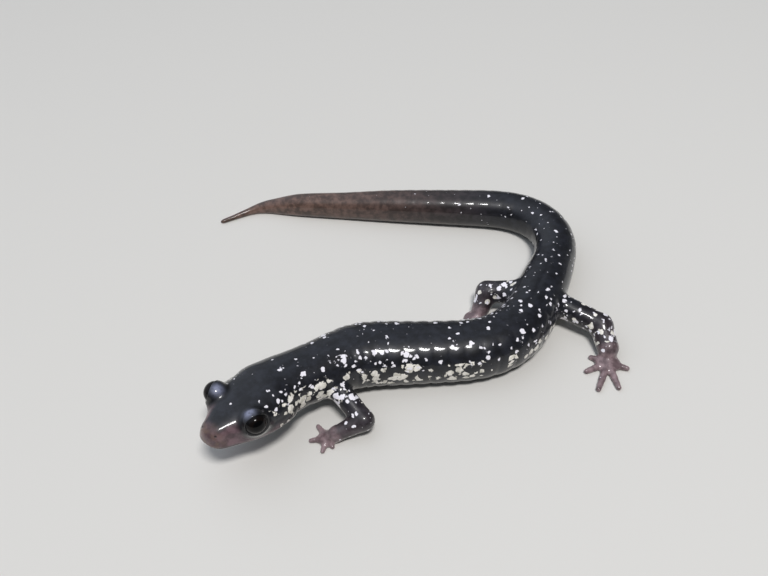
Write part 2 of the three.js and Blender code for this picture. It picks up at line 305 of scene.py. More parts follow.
def sectionAt(at):
    place = np.clip(at, 0, animal["length"])
    i = np.clip(np.searchsorted(stations[:, 0], place, side="right") - 1, 0, len(stations) - 2)
    span = (stations[i + 1, 0] - stations[i, 0])[:, None]
    t = (place - stations[i, 0])[:, None] / span
    values = (
        (2 * t**3 - 3 * t**2 + 1) * stations[i, 1:]
        + (t**3 - 2 * t**2 + t) * slopes[i] * span
        + (3 * t**2 - 2 * t**3) * stations[i + 1, 1:]
        + (t**3 - t**2) * slopes[i + 1] * span
    )
    return values.T


def levelAt(at):
    return float(sectionAt(np.array([at]))[3][0])


# A place on the head's skin: along it, outward from its middle, and over the floor
def skinPlace(at, angle):
    half, above, below, level = (float(value[0]) for value in sectionAt(np.array([at])))
    power = animal["backPower"] if angle > 0 else animal["bellyPower"]
    radius = (math.cos(angle) ** power + abs(math.sin(angle)) ** power) ** (-1 / power)
    length, rounding = animal["snoutRound"]
    gone = max(0.0, 1 - at / length)
    radius *= (1 - gone**rounding) ** (1 / rounding)
    tall = above if angle > 0 else below
    return np.array((at, radius * math.cos(angle) * half, level + radius * math.sin(angle) * tall))


def lineDistance(place, start, end):
    axis = end - start
    t = np.clip((place - start) @ axis / (axis @ axis), 0, 1)
    return np.linalg.norm(place - start - t[:, None] * axis, axis=1)


eyeCentre = np.array((eye["at"], eye["out"], levelAt(eye["at"]) + eye["up"]))
eyeAxis = np.array((-eye["look"][0], eye["look"][1], eye["look"][2]))
eyeAxis /= np.linalg.norm(eyeAxis)
eyeAlong = np.cross((0, 0, 1), eyeAxis)
eyeAlong /= np.linalg.norm(eyeAlong)
eyeOver = np.cross(eyeAxis, eyeAlong)
nostrilPlace = skinPlace(*head["nostril"])
nostrilEnd = nostrilPlace + head["nostrilDepth"] * np.array((0.75, -0.5, -0.43))
grooveMiddle, grooveEnd = (skinPlace(*place) for place in head["lipGroove"])
ridges = [(skinPlace(*start), skinPlace(*end), high, wide) for start, end, high, wide in head["ridges"]]


# How far a place is from the groove that runs from the nostril to the lip
def grooveDistance(place):
    toMiddle = lineDistance(place, nostrilPlace, grooveMiddle)
    return np.minimum(toMiddle, lineDistance(place, grooveMiddle, grooveEnd))


def slitLevel(at, level):
    corner = head["mouthCorner"]
    drop, length = head["cornerDroop"]
    return level - head["mouthDrop"] - drop * between(corner - length, corner, at)


def headRelief(at, out, z, side, level):
    height, along, around, angle = head["orbit"]
    relief = height * np.exp(-(((at - eye["at"]) / along) ** 2) - ((side - angle) / around) ** 2)
    corner = head["mouthCorner"]
    inMouth = 1 - between(corner - 0.3, corner + 0.3, at)
    overSlit = z - slitLevel(at, level)
    relief -= head["mouthDepth"] * bell(overSlit, head["mouthWidth"]) * inMouth
    before, past = head["jawReach"]
    jaw = 1 - between(corner - before, corner + past, at)
    relief -= head["overbite"] * jaw * between(0.05, -0.2, overSlit)
    high, up, wide = head["lip"]
    relief += high * jaw * bell(overSlit - up, wide)
    place = np.stack((at, np.abs(out), z), axis=1)
    for start, end, high, wide in ridges:
        relief += high * bell(lineDistance(place, start, end), wide)
    deep, wide = head["lipGrooveSize"]
    relief -= deep * bell(grooveDistance(place), wide)
    deep, wide = head["crown"]
    relief -= deep * bell(out, wide) * within(at, *head["crownReach"]) * (side > 0)
    foldAt = head["throatFold"] - head["throatSlant"] * np.clip(side, -1.6, 0.2) / -1.6
    foldDepth = head["throatDepth"] * between(0.35, -0.7, side)
    relief -= foldDepth * bell(at - foldAt, head["throatWidth"])
    share, ahead, wide = head["throatRoll"]
    return relief + share * foldDepth * bell(at - foldAt + ahead, wide)


# How deep the grooves round the body are: sharp at the bottom, and swelling between
def grooveDepth(kind, at, slant):
    first, spacing, deep, reach = trunk[kind]
    turn = np.abs(np.sin(math.pi * (at + slant - first) / spacing))
    return deep * within(at, *reach) * (1 - np.sqrt(turn))


def trunkRelief(at, out, side):
    ribs = grooveDepth("ribs", at, -trunk["ribSlant"] * np.sin(side)) * within(side, *trunk["ribSides"])
    tail = grooveDepth("tail", at, 0) * between(1.3, 0.9, side)
    neck = grooveDepth("neck", at, trunk["neckSlant"] * side) * between(0.9, 0.4, side)
    deep, wide = trunk["spineFurrow"]
    furrow = deep * within(at, *trunk["spineReach"]) * bell(out, wide) * (side > 0)
    return -ribs - tail - neck - furrow


def bodyField(at, out, z):
    half, above, below, level = sectionAt(at)
    up = z - level
    onBack = up > 0
    power = np.where(onBack, animal["backPower"], animal["bellyPower"])
    u = np.abs(out) / half
    v = up / np.where(onBack, above, below)
    ratio = (u**power + np.abs(v) ** power) ** (1 / power)
    side = np.arctan2(v, u)
    length, rounding = animal["snoutRound"]
    goneSnout = np.maximum(0, 1 - at / length)
    total = (ratio**rounding + goneSnout**rounding) ** (1 / rounding)
    tipLength, tipRounding = animal["tipRound"]
    goneTip = np.maximum(0, 1 - (animal["length"] - at) / tipLength)
    total = (total**tipRounding + goneTip**tipRounding) ** (1 / tipRounding)
    total = np.maximum(total, 1e-3)
    reach = np.sqrt(out**2 + up**2 + (goneSnout * length) ** 2 + (goneTip * tipLength) ** 2)
    field = reach * (1 - 1 / total)
    near = at < 17
    field[near] -= headRelief(at[near], out[near], z[near], side[near], level[near])
    field -= trunkRelief(at, out, side)
    return field, side


# Limbs

def coneField(place, start, end, startRadius, endRadius, swell):
    axis = end - start
    t = np.clip((place - start) @ axis / (axis @ axis), 0, 1)
    radius = (startRadius + (endRadius - startRadius) * t) * (1 + 4 * swell * t * (1 - t))
    return np.linalg.norm(place - start - t[:, None] * axis, axis=1) - radius, t


def pawField(place, limb, wrist):
    x, y, length, width = limb["palm"]
    centre = np.array((x, y, toe["height"]))
    facing = math.atan2(y - wrist[1], x - wrist[0])
    gap = place - centre
    ahead = gap[:, 0] * math.cos(facing) + gap[:, 1] * math.sin(facing)
    across = gap[:, 1] * math.cos(facing) - gap[:, 0] * math.sin(facing)
    scaled = np.stack((ahead / length, across / width, gap[:, 2] / toe["palmHeight"]), axis=1)
    ratio = np.maximum(np.linalg.norm(scaled, axis=1), 1e-3)
    pad = np.linalg.norm(gap, axis=1) * (1 - 1 / ratio)
    neck, _ = coneField(place, wrist, centre, limb["radii"][2], toe["palmHeight"], 0)
    field = smoothJoin(pad, neck, joins["wrist"])
    rootRadius, tipRadius = toe["root"] * limb["toeSize"], toe["tip"] * limb["toeSize"]
    for tipX, tipY in limb["toes"]:
        tip = np.array((tipX, tipY, toe["height"] * limb["toeSize"]))
        tip -= tipRadius * (tip - centre) / np.linalg.norm(tip - centre)
        finger, part = coneField(place, centre, tip, rootRadius, tipRadius, 0)
        finger -= toe["knuckle"] * sum(bell(part - middle, wide) for middle, wide in toe["knuckles"])
        field = smoothJoin(field, finger, toe["web"])
    return field


# A limb's field, with how far down the limb a place is: 0 at the body, 1 at the wrist and 2 on the toes.
def limbField(place, limb):
    root, middle, end = (np.array(joint, float) for joint in limb["joints"])
    rootRadius, middleRadius, endRadius = limb["radii"]
    upper, upperPart = coneField(place, root, middle, rootRadius, middleRadius, limbSwell)
    lower, lowerPart = coneField(place, middle, end, middleRadius, endRadius, limbSwell)
    paw = pawField(place, limb, end)
    field = smoothJoin(upper, lower, joins["knee"])
    field = smoothJoin(field, paw, joins["wrist"])
    down = np.where(upper < lower, 0.5 * upperPart, 0.5 + 0.5 * lowerPart)
    down = down + between(-0.6, 0.6, np.minimum(upper, lower) - paw)
    return field, down


def limbBox(limb, margin):
    x, y, length, width = limb["palm"]
    places = [joint[:2] for joint in limb["joints"]] + list(limb["toes"]) + [(x, y)]
    low = np.min(places, axis=0) - margin
    return low, np.max(places, axis=0) + margin


def eyeSpace(at, out, z):
    gap = np.stack((at, np.abs(out), z), axis=1) - eyeCentre
    reach = np.linalg.norm(gap, axis=1)
    ahead, along, over = gap @ eyeAxis, gap @ eyeAlong, gap @ eyeOver
    off = np.maximum(np.hypot(along, over), 1e-6)
    lidLong, lidHigh = eye["lids"]
    share = np.hypot(along / lidLong, over / lidHigh) / off
    arc = (np.arctan2(off, ahead) * share - 1) * (lidLong + lidHigh) / 2 * eye["radius"]
    return reach, arc


def addLids(field, at, out, z, blunt):
    reach, arc = eyeSpace(at, out, z)
    radius = eye["radius"]
    over, more = eye["cheek"]
    cheek = over + more * between(*eye["cheekFrom"], z - eyeCentre[2])
    field = smoothJoin(field, reach - radius - eye["lidDepth"], cheek)
    past = np.clip(arc, 0, 3)
    slope, curve, top = eye["lidRise"]
    thick = eye["lidDepth"] + slope * past + curve * past**2 + curve * np.maximum(reach - radius - top, 0)
    field = smoothCut(field, radius + thick - reach, 0.1)
    opening = np.maximum(np.maximum(arc, radius - eye["sunk"] - reach), reach - radius - eye["openingTop"])
    field = smoothCut(field, opening, 0.09 + blunt)
    rim = np.hypot(reach - radius + 0.005, arc - 0.03) - eye["rim"] - blunt / 4
    return smoothJoin(field, rim, 0.1 + blunt)


# The whole skin, in millimetres. "facts" also gives what the markings need, and "blunt" rounds small folds.
def skinField(points, facts=False, blunt=0.0):
    x, y, z = points.T
    at, out = bodyPlace(x, y)
    body, side = bodyField(at, out, z)
    field = body.copy()
    limbShare = np.zeros(len(points))
    down = np.zeros(len(points))
    reach, top = net["limbReach"]
    for limb in limbs.values():
        low, high = limbBox(limb, reach)
        near = (x > low[0]) & (x < high[0]) & (y > low[1]) & (y < high[1]) & (z < top)
        if not near.any():
            continue
        limbPart, limbDown = limbField(points[near], limb)
        nearer = limbPart - body[near]
        field[near] = smoothJoin(field[near], limbPart, joins["limbToBody"])
        share = between(0.7, -0.7, nearer)
        down[near] = np.where(share > limbShare[near], limbDown, down[near])
        limbShare[near] = np.maximum(share, limbShare[near])
    # eyes, nostrils and vent are worked out near them only, to save time
    near = (at < 9.5) & (at > 2.5) & (z > 6)
    field[near] = addLids(field[near], at[near], out[near], z[near], blunt)
    place = np.stack((at, np.abs(out), z), axis=1)
    near = at < 2.5
    pit = lineDistance(place[near], nostrilPlace, nostrilEnd) - head["nostrilRadius"]
    field[near] = smoothCut(field[near], pit, 0.1 + blunt)
    field = smoothCut(field, z, animal["floorEdge"])
    near = (at > 60) & (at < 75) & (z < 1)
    ventStart, ventEnd = (np.array((end, 0, 0)) for end in trunk["vent"])
    wide, rounding = trunk["ventSize"]
    field[near] = smoothCut(field[near], lineDistance(place[near], ventStart, ventEnd) - wide, rounding)
    if facts:
        return field, {"at": at, "out": out, "side": side, "limb": limbShare, "down": down}
    return field


# The net of faces

def searchGrid():
    step = net["step"]
    low = np.array((spineX.min(), spineY.min())) - net["reach"]
    high = np.array((spineX.max(), spineY.max())) + net["reach"]
    boxes = [limbBox(limb, net["limbMargin"]) for limb in limbs.values()]
    low = np.min([low, *(box[0] for box in boxes)], axis=0)
    high = np.max([high, *(box[1] for box in boxes)], axis=0)
    xs = np.arange(low[0], high[0], step)
    ys = np.arange(low[1], high[1], step)
    zs = np.arange(net["under"], net["top"], step)
    gridX, gridY = (axis.ravel() for axis in np.meshgrid(xs, ys, indexing="ij"))
    at, out = bodyPlace(gridX, gridY)
    past = net["endMargin"]
    wanted = (np.abs(out) < net["reach"]) & (at > -past) & (at < animal["length"] + past)
    for (left, front), (right, back) in boxes:
        wanted |= (gridX > left) & (gridX < right) & (gridY > front) & (gridY < back)
    columns = np.flatnonzero(wanted)
    field = np.full((len(gridX), len(zs)), net["far"])
    for start in range(0, len(columns), net["batch"]):
        some = columns[start:start + net["batch"]]
        points = np.empty((len(some), len(zs), 3))
        points[..., 0] = gridX[some, None]
        points[..., 1] = gridY[some, None]
        points[..., 2] = zs
        values = skinField(points.reshape(-1, 3), blunt=net["blunt"])
        field[some] = values.reshape(len(some), len(zs))
    return field.reshape(len(xs), len(ys), len(zs)), np.array((low[0], low[1], net["under"]))


# A pocket of one point is filled. Where two outside corners of a grid square face each other, an edge of the
# net would have four faces, so the one nearer to the surface is filled as well.
def closePockets(field):
    while True:
        outside = field >= 0
        core = outside[1:-1, 1:-1, 1:-1]
        joined = outside[2:, 1:-1, 1:-1] | outside[:-2, 1:-1, 1:-1]
        joined |= outside[1:-1, 2:, 1:-1] | outside[1:-1, :-2, 1:-1]
        joined |= outside[1:-1, 1:-1, 2:] | outside[1:-1, 1:-1, :-2]
        chosen = {tuple(place + 1) for place in np.argwhere(core & ~joined)}
        for steps in ((1, 1, 0), (0, 1, 1), (1, 0, 1)):
            size = [n - step for n, step in zip(field.shape, steps)]
            first, second = np.eye(3, dtype=int)[np.flatnonzero(steps)]
            square = (first * 0, first, first + second, second)
            a, b, c, d = (outside[tuple(slice(o, o + n) for o, n in zip(corner, size))] for corner in square)
            for place in np.argwhere((a == c) & (b == d) & (a != b)):
                corners = [tuple(place + corner) for corner in square]
                chosen.add(min((corner for corner in corners if outside[corner]), key=field.item))
        if not chosen:
            return field
        for place in chosen:
            field[place] = net["filled"]


def cornerSlice(i, j, k, shape):
    return tuple(slice(c, c + n - 1) for c, n in zip((i, j, k), shape))


# One vertex in each cell that the surface crosses, at the mean of its crossings. Each crossed edge gets a
# face between the four cells round it.
def layNet(field, low):
    shape = field.shape
    inside = field < 0
    total = np.zeros([n - 1 for n in shape] + [3])
    count = np.zeros([n - 1 for n in shape])
    corners = [(i, j, k) for i in (0, 1) for j in (0, 1) for k in (0, 1)]
    for first in corners:
        for axis in range(3):
            if first[axis]:
                continue
            second = tuple(c + (n == axis) for n, c in enumerate(first))
            a, b = field[cornerSlice(*first, shape)], field[cornerSlice(*second, shape)]
            crossed = (a < 0) != (b < 0)
            part = np.where(crossed, a / np.where(crossed, a - b, 1), 0)
            for n in range(3):
                total[..., n] += crossed * first[n] + (part if n == axis else 0)
            count += crossed
    cells = np.argwhere(count > 0)
    index = np.full(count.shape, -1)
    index[tuple(cells.T)] = np.arange(len(cells))
    points = low + net["step"] * (cells + total[tuple(cells.T)] / count[tuple(cells.T)][:, None])
    faces = []
    for axis in range(3):
        ahead = [slice(None)] * 3
        ahead[axis] = slice(1, None)
        behind = [slice(None)] * 3
        behind[axis] = slice(None, -1)
        leaving = inside[tuple(behind)] & ~inside[tuple(ahead)]
        entering = ~inside[tuple(behind)] & inside[tuple(ahead)]
        b, c = (axis + 1) % 3, (axis + 2) % 3
        for edges, order in ((leaving, (0, 1, 2, 3)), (entering, (3, 2, 1, 0))):
            at = np.argwhere(edges)
            ring = []
            for backB, backC in ((1, 1), (0, 1), (0, 0), (1, 0)):
                cell = at.copy()
                cell[:, b] -= backB
                cell[:, c] -= backC
                ring.append(index[tuple(cell.T)])
            faces.append(np.stack([ring[n] for n in order], axis=1))
    return points, np.concatenate(faces)


def slopeOf(points, blunt):
    tiny = 0.02
    columns = []
    for axis in range(3):
        shift = np.zeros(3)
        shift[axis] = tiny
        rise = skinField(points + shift, blunt=blunt) - skinField(points - shift, blunt=blunt)
        columns.append(rise / (2 * tiny))
    return np.stack(columns, axis=1)


# Points are moved onto the surface, down the field's slope.
def settle(points, rounds, blunt=0.0):
    for _ in range(rounds):
        slope = slopeOf(points, blunt)
        steep = np.maximum(np.sum(slope**2, axis=1), 0.15)  # where the field is flat, points move little
        move = skinField(points, blunt=blunt)[:, None] * slope / steep[:, None]
        length = np.linalg.norm(move, axis=1, keepdims=True)
        points = points - move * np.minimum(1, net["longestMove"] / np.maximum(length, 1e-9))
    return points


# Points slide along the surface, towards the middle of their neighbours.
def relax(points, edges, chosen, blunt=0.0):
    near = np.zeros_like(points)
    for axis in range(3):
        near[:, axis] += np.bincount(edges[:, 0], points[edges[:, 1], axis], len(points))
        near[:, axis] += np.bincount(edges[:, 1], points[edges[:, 0], axis], len(points))
    count = np.bincount(edges.ravel(), minlength=len(points))[:, None]
    move = (near / np.maximum(count, 1) - points)[chosen]
    slope = slopeOf(points[chosen], blunt)
    normal = slope / np.maximum(np.linalg.norm(slope, axis=1, keepdims=True), 1e-6)
    move -= np.sum(move * normal, axis=1, keepdims=True) * normal
    moved = points.copy()
    moved[chosen] = settle(points[chosen] + 0.5 * move, 1, blunt)
    return moved


def readPoints(mesh):
    flat = np.empty(len(mesh.vertices) * 3)
    mesh.vertices.foreach_get("co", flat)
    return flat.reshape(-1, 3)


def readEdges(mesh):
    flat = np.empty(len(mesh.edges) * 2, np.int32)
    mesh.edges.foreach_get("vertices", flat)
    return flat.reshape(-1, 2)


def inPaw(facts):
    return (facts["limb"] > 0.5) & (facts["down"] > net["pawFrom"])


# Around the lids, the nostrils and the slit of the mouth
def inFold(points):
    x, y, z = points.T
    at, out = bodyPlace(x, y)
    level = sectionAt(at)[3]
    reach, arc = eyeSpace(at, out, z)
    place = np.stack((at, np.abs(out), z), axis=1)
    off, aside = net["fineLids"]
    lids = (np.abs(reach - eye["radius"]) < off) & (np.abs(arc) < aside)
    off, past = net["fineSlit"]
    slit = (np.abs(z - slitLevel(at, level)) < off) & (at < head["mouthCorner"] + past)
    off, aside = net["fineNose"]
    nose = (lineDistance(place, nostrilPlace, nostrilEnd) < off) | (grooveDistance(place) < aside)
    return lids | slit | nose


# The faces whose corners are all chosen are split in four, and their points settle again.
def splitFaces(mesh, chosen):
    work = bmesh.new()
    work.from_mesh(mesh)
    faces = [face for face in work.faces if all(chosen[vert.index] for vert in face.verts)]
    edges = list(dict.fromkeys(edge for face in faces for edge in face.edges))
    bmesh.ops.subdivide_edges(work, edges=edges, cuts=1, use_grid_fill=True)
    work.to_mesh(mesh)
    work.free()
    points = readPoints(mesh)
    edges = readEdges(mesh)
    moving = np.zeros(len(points), bool)
    moving[len(chosen):] = True
    for _ in range(2):
        moving[edges[moving[edges].any(axis=1)]] = True
    points[moving] = settle(points[moving], 2)
    for _ in range(net["relaxFine"]):
        points = relax(points, edges, moving)
    mesh.vertices.foreach_set("co", points.ravel())
    return points


def makeObject(name, mesh):
    made = bpy.data.objects.new(name, mesh)
    bpy.context.scene.collection.objects.link(made)
    mesh.shade_smooth()
    return made


# The other way round, for one place
def bodyPoint(at, out, z):
    heading = headingAt(np.array([at]))[0]
    x = np.interp(at, spineAt, spineX) + math.sin(heading) * out
    y = np.interp(at, spineAt, spineY) - math.cos(heading) * out
    return np.array((x, y, z))


# The model's middle lies over the frame's origin, and its left eye says by how much the plan has to move.
eyeLow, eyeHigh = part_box("eye_left")
planEye = bodyPoint(*eyeCentre)
shift = np.array((eyeLow + eyeHigh) / 2) / mm - planEye
shift[2] = 0


# How dense each kind of marking is: places along the body, and the density at each. The last row is the
# "side" at which the band of blotches ends.
marks = {
    "flecks": ((0, 3, 9, 15, 22, 60, 80, 92, 104, 112), (0, 0.15, 0.3, 0.5, 0.75, 0.9, 0.9, 0.65, 0.3, 0)),
    "blotches": ((8, 9.2, 13, 16, 22, 27, 48, 56, 66), (0, 1.4, 1.6, 1.7, 1.5, 1.15, 1.1, 0.8, 0)),
    "clusters": ((13, 17, 24, 27, 33, 43, 60, 70), (0.1, 1.2, 1.0, 1.3, 1.6, 1.1, 0.6, 0)),
    "specks": ((0, 8, 16, 80, 130, 147), (0.05, 0.2, 0.28, 0.28, 0.1, 0.04)),
    "bandTop": ((8, 12, 20, 24, 44, 58), (0.8, 0.68, 0.66, 0.6, 0.5, 0.3)),
}

# How dense they are on a limb and on its paw
limbMarks = {"flecks": (0.9, 0.15), "specks": (0.5, 0.2), "clusters": (1.7, 0.1), "blotches": (0.7, 0)}

# Where a zone begins and where it is full. On the body's "side" 0 is the widest line and 1.57 the back.
zones = {
    "paw": (1.05, 1.8),
    "bareArm": (0.3, 0.5),  # elbow and forearm have few blotches
    "lowerLimb": (0.1, 0.9),
    "snout": (2.4, 0.6),
    "lipAt": (6.5, 2.0),
    "lipSide": (1.12, 0.9),
    "lipRearAt": (10.5, 7.5),
    "lipRearSide": (0.3, 0.0),
    "bandFoot": (-0.42, -0.12),
    "fleckSide": (0.1, 0.5),
    "speckSide": (-0.8, 0.1),
    # the underside, coloured darker than the real belly as painted shade
    "brownAt": (90, 134),
    "bellySide": (-0.15, -0.7),
    "offEye": (0.05, 0.6),
    # where the painted reflection of the sky on the upper lid fades out
    "onLid": (0.6, 0.05),
    # how far off the ball the near-black round the eye reaches: partly the real black lids, partly painted
    # shade
    "socket": (1.0, 0.1),
    # how far round the nostril the painted shade inside it reaches
    "nostril": (0.22, 0.1),
}
clusterSides = (0.3, 0.5, 1.0, 1.3)
bandSoft = (0.12, -0.08)  # how the top of the band fades
pawShares = (0.95, 0.2)  # the paw's colour on the paw and on the lower limb
armsEnd = 40  # limbs ahead of this are arms
snoutTan = (0.6, 0.2, 1.3)  # share, middle, half width
# a pale bluish patch on top of the upper lid: a painted reflection of the sky
lidSkyReflection = ((-0.1, -0.4, 0.91), 0.44)  # its direction from the ball's middle, and half width in radians


def giveMarks(mesh, facts, points):
    def zone(name, value):
        return between(*zones[name], value)

    at, side, limb, down = (facts[key] for key in ("at", "side", "limb", "down"))
    place = np.stack((at, np.abs(facts["out"]), points[:, 2]), axis=1)
    gap = place - eyeCentre
    reach = np.linalg.norm(gap, axis=1)
    offBall = reach - eye["radius"]
    reflectionWay, reflectionWide = lidSkyReflection
    toSkyReflection = np.arccos(np.clip(gap @ np.array(reflectionWay) / reach, -1, 1))
    along = {name: np.interp(at, *stops) for name, stops in marks.items()}
    paw = limb * zone("paw", down)
    onLimb = limb * (1 - paw)
    onBody = 1 - limb
    bare = np.where(at < armsEnd, zone("bareArm", down), 0)
    lip = zone("lipAt", at) * zone("lipSide", side)
    lip = np.maximum(lip, zone("lipRearAt", at) * zone("lipRearSide", side))
    lip = np.maximum(lip, zone("snout", at))
    bandEnd, bandFull = (along["bandTop"] + soft for soft in bandSoft)
    band = between(bandEnd, bandFull, side) * zone("bandFoot", side)
    onPaw, onLower = pawShares
    tanShare, tanMiddle, tanWide = snoutTan
    sides = {
        "flecks": zone("fleckSide", side),
        "specks": zone("speckSide", side),
        "clusters": within(side, *clusterSides),
        "blotches": band,
    }
    limbShare = {"flecks": 1, "specks": 1, "clusters": 1 - 0.5 * bare, "blotches": 1 - bare}
    values = {
        "limbs": onLimb,
        "brown": zone("brownAt", at) * onBody,
        "purple": lip * onBody * zone("offEye", offBall),
        "paw": onPaw * paw + onLower * onLimb * zone("lowerLimb", down),
        "tan": tanShare * bell(at - tanMiddle, tanWide) * onBody,
        # the pale patch on top of the upper lid is a painted reflection of the sky
        "lid": bell(toSkyReflection, reflectionWide) * zone("onLid", offBall),
        # near-black skin round the eye: partly the real black lids, partly painted shade round the socket
        "socket": zone("socket", offBall),
        # the underside below the widest line: the real belly's dark slate, made darker as painted shade
        "belly": zone("bellySide", side) * onBody,
        # near-black inside the nostril: painted shade in the hole
        "pit": zone("nostril", lineDistance(place, nostrilPlace, nostrilEnd)),
    }
    for kind, there in sides.items():
        onLimbs, onPaws = limbMarks[kind]
        values[kind] = along[kind] * onBody * there + onLimbs * onLimb * limbShare[kind] + onPaws * paw
    for name, value in values.items():
        layer = mesh.attributes.new(name, "FLOAT", "POINT")
        layer.data.foreach_set("value", np.clip(value, 0, 2).astype(np.float32))


def makeSkin():
    field, low = searchGrid()
    points, faces = layNet(closePockets(field), low)
    mesh = bpy.data.meshes.new("skin")
    mesh.from_pydata(points.tolist(), [], faces.tolist())
    everywhere = np.ones(len(points), bool)
    edges = readEdges(mesh)
    points = settle(points, 2, net["blunt"])
    for _ in range(net["relax"]):
        points = relax(points, edges, everywhere, net["blunt"])
    mesh.vertices.foreach_set("co", points.ravel())
    _, facts = skinField(points, facts=True)
    points = splitFaces(mesh, (facts["at"] < net["fineHead"]) | inPaw(facts))
    points = splitFaces(mesh, inFold(points))
    _, facts = skinField(points, facts=True)
    giveMarks(mesh, facts, points)
    mesh.vertices.foreach_set("co", ((points + shift) * mm).ravel())
    mesh.update()
    triangles = sum(len(face.vertices) - 2 for face in mesh.polygons)
    print(f"skin: {triangles} triangles, from a net of {len(faces)} faces")
    return makeObject("skin", mesh)


skin = makeSkin()


# Eyes

# angles from the pupil's middle in radians
eyeball = {
    "rings": 40,
    "sides": 56,
    "play": 0.03,  # how much smaller the ball is than its socket
    "pupil": 0.50,
    "iris": 0.86,
    "rims": (0.04, 0.1),  # how softly the pupil and the iris end
    "cornea": (0.05, 4),  # height, and power of its edge
}


def makeEye(name, side):
    centre = bodyPoint(eyeCentre[0], side * eyeCentre[1], eyeCentre[2]) + shift
    tip = eyeCentre + eyeAxis
    axis = bodyPoint(tip[0], side * tip[1], tip[2]) + shift - centre
    turn = Vector(axis).to_track_quat("Z", "Y")
    work = bmesh.new()
    bmesh.ops.create_uvsphere(work, u_segments=eyeball["sides"], v_segments=eyeball["rings"], radius=1)
    mesh = bpy.data.meshes.new(name)
    angles = [math.acos(max(-1, min(1, vert.co.z))) for vert in work.verts]
    height, power = eyeball["cornea"]
    radius = (eye["radius"] - eyeball["play"]) * mm
    for vert, angle in zip(work.verts, angles):
        bulge = 1 + height * math.exp(-((angle / eyeball["iris"]) ** power))
        vert.co = Vector(centre * mm) + turn @ vert.co * bulge * radius
    work.to_mesh(mesh)
    work.free()
    layer = mesh.attributes.new("fromPupil", "FLOAT", "POINT")
    layer.data.foreach_set("value", angles)
    return makeObject(name, mesh)


eyes = {name: makeEye("eyeball_" + name, side) for name, side in (("left", 1), ("right", -1))}
print("eyes made")


# Materials

def tone(code):
    parts = [int(code[n:n + 2], 16) / 255 for n in (1, 3, 5)]
    return (*[p / 12.92 if p <= 0.04045 else ((p + 0.055) / 1.055) ** 2.4 for p in parts], 1)


def addNode(tree, kind, inputs=(), **settings):
    node = tree.nodes.new(kind)
    for key, value in settings.items():
        setattr(node, key, value)
    for key, value in dict(inputs).items():
        if isinstance(value, bpy.types.NodeSocket):
            tree.links.new(value, node.inputs[key])
        else:
            node.inputs[key].default_value = value
    return node


def newMaterial(name):
    material = bpy.data.materials.new(name)
    material.use_nodes = True
    material.node_tree.nodes.clear()
    return material, material.node_tree


def finishMaterial(tree, inputs):
    shader = addNode(tree, "ShaderNodeBsdfPrincipled", inputs)
    addNode(tree, "ShaderNodeOutputMaterial", {"Surface": shader.outputs[0]})


skinLook = {
    "black": ("#0d0e14", "#1f2129"),
    "brown": ("#46362f", "#755c52"),
    "purple": ("#4a393e", "#735c62"),
    "paw": ("#645356", "#9a8588"),
    "tan": "#75604f",
    # painted reflection of the sky on top of the upper lid
    "lid": "#8a8fa8",
    # near-black round the eye: partly the real black lids, partly painted shade
    "socket": "#08080b",
    # painted shade inside the nostril
    "pit": "#120f10",
    # the belly's dark slate, made darker than the real belly as painted shade
    "belly": "#191b1e",
    "fleck": "#f0edf4",
    "blotch": ("#f6f2ea", "#cfcbc0"),
    # spacing of the pattern in millimetres, then smallest and largest radius as shares of it
    "flecks": (1.2, 0.19, 0.31),
    "clusters": (1.15, 0.2, 0.5),
    "specks": (0.62, 0.1, 0.24),
    "blotches": (1.3, 0.36, 0.68),
    "melt": 0.3,  # how far neighbouring spots run together, as a share of the spacing
    "swell": 0.17,  # how much the spots grow where they are crowded
    "limbSpots": 0.35,  # the least share of the clusters on the limbs
    "blotchField": 2.6,  # the size of the fields in which blotches run together
    "jagged": 0.55,  # how far noise moves a spot's edge, and how soft it is, in millimetres
    "edge": 0.11,
    # where each pattern is read, so that they don't lie on top of each other
    "shifts": {
        "specks": (31.7, 12.9, 5.3),
        "clusters": (3.1, 22.4, 9.2),
        "patches": (7.0, 3.0, 11.0),
        "fields": (2.0, 17.0, 5.0),
    },
    # each pair is the size of a noise and how far it moves a pattern
    "ragged": ((0.9, 0.6), (0.35, 0.2)),
    "torn": ((1.8, 1.2), (0.5, 0.5)),
    "patchSize": 5.0,
}


